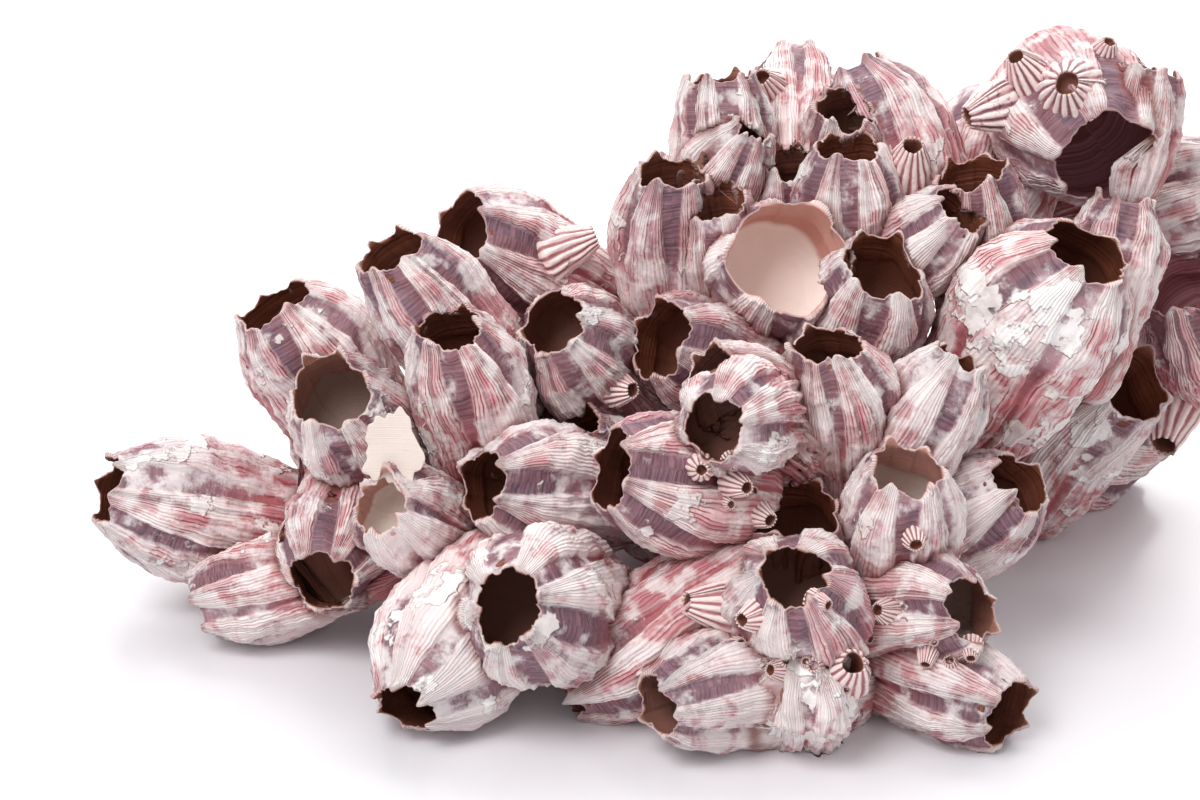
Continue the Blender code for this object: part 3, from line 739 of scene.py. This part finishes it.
# A row is the shell that carries it, the middle of its foot, where it faces in degrees (to the
# right of the front, and up), its height, and its radius at the foot.
YOUNG = (
    ("right_open_shell", (59, -70, 54), 5, -5, 5, 4.6),
    ("front_mid_shell", (18, -91, 42), -45, 8, 6, 5.0),
    ("front_mid_shell", (33, -93, 47), 45, 5, 4, 3.2),
    ("front_mid_shell", (13, -74, 35), -71, 15, 14, 8.0),
    ("front_foot_shell", (33, -93, 29), -10, 20, 4, 3.6),
    ("front_foot_shell", (25, -91, 26), -50, 20, 5, 4.0),
    ("front_foot_shell", (40, -84, 20), 10, 40, 19, 8.5),
    ("front_right_shell", (52, -78, 36), -36, 28, 5, 4.0),
    ("front_right_shell", (63, -82, 26), -15, -27, 4, 3.4),
    ("front_right_shell", (74, -83, 28), -5, -18, 4, 3.2),
    ("corner_shell", (69, -83, 22), -19, 60, 4, 3.2),
    ("front_side_shell", (4, -67, 72), 0, 20, 5, 4.0),
    ("front_side_shell", (13, -64, 66), 30, 12, 6, 4.4),
    ("front_side_shell", (19, -60, 55), 35, 6, 6, 4.6),
    ("square_mouth_shell", (-17, -12, 69), 44, 14, 6, 5.6),
    ("back_left_shell", (-38, 26, 92), 107, 17, 16, 9.0),
    ("tower_shell", (109, 36, 138), -20, 32, 9, 10.0),
    ("tower_shell", (92, 46, 130), -70, -10, 12, 8.5),
    ("tower_shell", (98, 46, 139), -50, 50, 9, 7.0),
    ("tower_shell", (120, 52, 144), 30, 60, 4, 4.6),
    ("top_dome_shell", (26, 58, 131), -20, 40, 9, 6.0),
    ("back_purple_shell", (63, 27, 115), 5, 58, 16, 8.0),
    ("right_end_shell", (150, 57, 38), -19, -20, 26, 11.0),
)
TINY_YOUNG = (
    ("front_side_shell", (11, -66, 61), 29, 20, 2.2, 2.6),
    ("teardrop_shell", (12, -66, 73), 22, -20, 2.0, 2.4),
    ("front_side_shell", (17, -61, 62), 50, 30, 2.0, 2.2),
    ("front_foot_shell", (25, -92, 29), 20, 35, 2.0, 2.6),
    ("front_foot_shell", (31, -94, 30), -20, 33, 2.0, 2.4),
    ("front_foot_shell", (41, -95, 24), -7, -20, 2.0, 2.4),
    ("front_low_shell", (14, -85, 30), 16, 38, 2.2, 2.8),
    ("front_mid_shell", (47, -77, 28), 40, 0, 2.2, 2.6),
    ("front_right_shell", (57, -80, 34), -25, 33, 1.8, 2.2),
    ("front_right_shell", (64, -84, 31), 5, 0, 1.8, 2.0),
)
YOUNG_SINK = 3.0
YOUNG_MOUTH_SHARE = 0.30
YOUNG_PIT_FLOOR = 0.45
YOUNG_RIBS = (12, 18)
YOUNG_GRID = (72, 20, 9)
YOUNG_LOOK = {"near": 4.0, "white": 0.5, "purple": 0.1, "stripes": 0.9, "tone": 0.3, "crust": 0.2,
              "mauve": 0.0}
TOWER_YOUNG_LOOK = {**YOUNG_LOOK, "purple": 0.65}


def young_grid(number, root, heading, pitch, height, root_radius):
    """A young shell's skin as a grid: up the cone, over the rim and down into the pit.

    The radius falls from the foot to the rim with the height to the power 1.4, times a cosine of
    the angle for the ribs. The pit's radius is the rim's, times a curve that closes its floor.
    """
    draw = np.random.default_rng(number + 5000)
    columns, outer_rows, inner_rows = YOUNG_GRID
    around = np.linspace(0, 2 * math.pi, columns, endpoint=False)[None, :]
    ribs = int(draw.integers(*YOUNG_RIBS))
    rim_radius = YOUNG_MOUTH_SHARE * root_radius
    climb = np.linspace(0, 1, outer_rows)[:, None]
    teeth = np.cos(ribs * around)
    along = -YOUNG_SINK + (height + YOUNG_SINK + 0.03 * root_radius * teeth) * climb
    cone = root_radius + (rim_radius + 0.5 - root_radius) * climb ** 1.4
    uneven = waves(draw, around, along, (1, 5), (6, 14), 5)
    flute = (0.075 * teeth * (1 - 0.5 * climb) + 0.03 * uneven) * smooth(climb * 4)
    radius = cone * (1 + flute) * np.minimum(1, climb * 8) ** 0.5
    down = np.linspace(0, 1, inner_rows + 1)[1:, None]
    in_along = along[-1:] * (1 - down) + YOUNG_PIT_FLOOR * height * down
    in_radius = rim_radius * (1 + 0.06 * uneven[-1:]) * np.sqrt(1 - down ** 4)
    along = np.concatenate((along, in_along))
    radius = np.concatenate((radius, in_radius))
    turn = turned_to(facing(heading, pitch))
    local = np.stack((radius * np.cos(around), radius * np.sin(around), along), -1)
    level = np.concatenate((climb, 1 + 0.3 * down))
    inside = np.concatenate((np.zeros_like(climb), np.ones_like(down)))
    return {
        "points": np.array(root) - CLUSTER_CENTRE + local @ turn.T,
        "strand": np.broadcast_to(around / (2 * math.pi) * ribs, along.shape),
        "along": along,
        "values": {
            "cover": np.ones_like(along),
            "height": np.broadcast_to(level, along.shape),
            "inside": np.broadcast_to(inside, along.shape),
            "wash": np.zeros(along.shape),
            "young": np.ones(along.shape),
        },
    }


# The pale flake: a broken bit of a shell's cream wall, thinner than a millimetre and ragged all
# round. It is caught upright behind the small pale barnacle, and is part of that shell's piece.
FLAKE_HOST = "pale_small_shell"
FLAKE_PLACE = np.array((-76, -44, 66))
FLAKE_RIGHT, FLAKE_UP = np.array((0.94, -0.30, 0.12)), np.array((-0.05, 0.24, 0.97))
FLAKE_HALF_WIDTH, FLAKE_HALF_HEIGHT, FLAKE_HALF_THICKNESS = 8.2, 10.5, 0.45
FLAKE_GRID = (96, 20)
FLAKE_LOOK = {"cover": 1.0, "height": 1.7, "inside": 1.0, "wash": 0.0, "young": 0.0, "near": 4.0,
              "white": 1.0, "purple": 0.0, "stripes": 0.0, "tone": 0.84, "crust": 0.0, "mauve": 0.0}


def flake_grid():
    """A bent sheet as one grid, from the middle of its front out to the edge and back behind.

    Its outline is a circle times a sum of cosines. It stands out by the squares of the distances
    across and up, and each side by half of a thickness that falls with the fourth power of reach.
    """
    draw = np.random.default_rng(77)
    columns, rows = FLAKE_GRID
    around = np.linspace(0, 2 * math.pi, columns, endpoint=False)[None, :]
    reach = np.concatenate((np.linspace(0, 1, rows), np.linspace(1, 0, rows)))[:, None]
    side = np.concatenate((np.ones(rows), -np.ones(rows)))[:, None]
    ragged = 0.05 * waves(draw, around, 0.0, (2, 19), (1, 2), 8)
    outline = reach * (1 + 0.13 * np.cos(5 * around + 0.6) + ragged)
    across = FLAKE_HALF_WIDTH * outline * np.cos(around)
    up = FLAKE_HALF_HEIGHT * outline * np.sin(around)
    ripple = 0.15 * waves(draw, around, 0.0, (1, 4), (1, 2), 3) * reach
    skin = side * FLAKE_HALF_THICKNESS * np.sqrt(1 - 0.92 * reach ** 4)
    out = 0.030 * across ** 2 + 0.012 * up ** 2 + ripple + skin
    points = (across[..., None] * FLAKE_RIGHT + up[..., None] * FLAKE_UP
              + out[..., None] * np.cross(FLAKE_RIGHT, FLAKE_UP))
    return {"points": FLAKE_PLACE - CLUSTER_CENTRE + points, "strand": across * 0.3, "along": up,
            "values": {}}


# The pieces: each grown shell with the young ones that it carries. It is cut back to where it
# grew against its neighbours and is flat where it stands on the floor, and the shell at the front
# leans back at its foot, so that the floor shows under it.
FLOOR_CLEARANCE = 0.02
UPRIGHT = np.array((0.0, 0.0, 1.0))
UNDERCUT_BELOW, UNDERCUT_SLOPE = 14, 1.1
SHOWN_INSIDE = {"inside": 1.0, "height": 1.5}


def with_look(grid, look):
    """A grid with each value of a look the same all over it."""
    for key, value in look.items():
        grid["values"][key] = np.full(grid["points"].shape[:2], value)
    return grid


def cut_to_neighbours(grid, shell, order):
    """Cut a shell's grid to its neighbours and the floor, and colour what shows in their hollows.

    A point below the floor goes up to it along the shell's axis, or straight up where the shell
    lies down. A point of the outer skin that shows in a neighbour's hollow is coloured as it is.
    """
    shape = grid["points"].shape
    points = grid["points"].reshape(-1, 3)
    values = grid["values"]
    own_height = (grid["along"] / shell.length).reshape(-1)
    near, seen_in = grown_against(shell, points, own_height, values["inside"].reshape(-1), order)
    axis, sunk = shell.turn[:, 2], np.maximum(FLOOR_CLEARANCE - points[:, 2], 0)
    points += sunk[:, None] * (axis / axis[2] if axis[2] > 0.5 else UPRIGHT)
    if shell.name == LUMPY:
        points[:, 1] += UNDERCUT_SLOPE * np.maximum(UNDERCUT_BELOW - points[:, 2], 0)
    grid["points"] = points.reshape(shape)
    values["near"] = near.reshape(shape[:2])
    hosts = np.where(values["inside"] > 0, -1, seen_in.reshape(shape[:2]))
    for key, shown in {**SHOWN_INSIDE, "tone": INNER_TONES[hosts]}.items():
        values[key] = np.where(hosts >= 0, shown, values[key])


shells = [Shell(number, *row) for number, row in enumerate(SHELLS)]
by_mouth = sorted(shells, key=lambda shell: shell.mouth)
looks = [{**USUAL_LOOK, **LOOKS.get(shell.name, {})} for shell in shells]
INNER_TONES = np.array([look["tone"] for look in looks])
for shell, look in zip(shells, looks):
    grid = shell_grid(shell, *(FRONT_GRID if shell.number < BACK_FROM else BACK_GRID))
    cut_to_neighbours(with_look(grid, look), shell, by_mouth)
    parts = []
    add_grid(parts, grid)
    young_look = TOWER_YOUNG_LOOK if shell.name == "tower_shell" else YOUNG_LOOK
    for number, (host, *form) in enumerate(YOUNG + TINY_YOUNG):
        if host == shell.name:
            add_grid(parts, with_look(young_grid(number, *form), young_look))
    if shell.name == FLAKE_HOST:
        add_grid(parts, with_look(flake_grid(), FLAKE_LOOK))
    piece = make_piece(shell.name.replace("_shell", "_barnacle"), parts, paint)
    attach(piece, "root")
    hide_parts(shell.name)


# The surface that the cluster lies on, and the light: a white sweep in a bright room, with a
# large soft lamp overhead and a smaller one high on the left.
FLOOR = [(-4, -4, 0), (4, -4, 0), (4, 4, 0), (-4, 4, 0)]
FLOOR_WHITE, FLOOR_ROUGHNESS = (0.80, 0.785, 0.815, 1), 0.25
ROOM_LIGHT = 0.73
LAMPS = (("key", (-0.40, -0.48, 0.88), 0.5, 6.6), ("overhead", (0.24, 0.80, 0.86), 1.3, 15.0))
floor_mesh = bpy.data.meshes.new("floor")
floor_mesh.from_pydata(FLOOR, [], [(0, 1, 2, 3)])
floor = bpy.data.objects.new("floor", floor_mesh)
bpy.context.scene.collection.objects.link(floor)
sweep = Finish("white_sweep")
sweep.surface.inputs["Base Color"].default_value = FLOOR_WHITE
sweep.surface.inputs["Roughness"].default_value = FLOOR_ROUGHNESS
floor_mesh.materials.append(sweep.material)

world = bpy.data.worlds.new("studio")
world.use_nodes = True
world.node_tree.nodes["Background"].inputs["Color"].default_value = (1, 1, 1, 1)
world.node_tree.nodes["Background"].inputs["Strength"].default_value = ROOM_LIGHT
bpy.context.scene.world = world
bpy.context.scene.view_settings.view_transform = "Standard"

for name, spot, size, energy in LAMPS:
    lamp_data = bpy.data.lights.new(name, "AREA")
    lamp_data.size = size
    lamp_data.energy = energy
    lamp = bpy.data.objects.new(name, lamp_data)
    lamp.location = spot
    lamp.rotation_euler = Vector(spot).to_track_quat("Z", "Y").to_euler()
    bpy.context.scene.collection.objects.link(lamp)
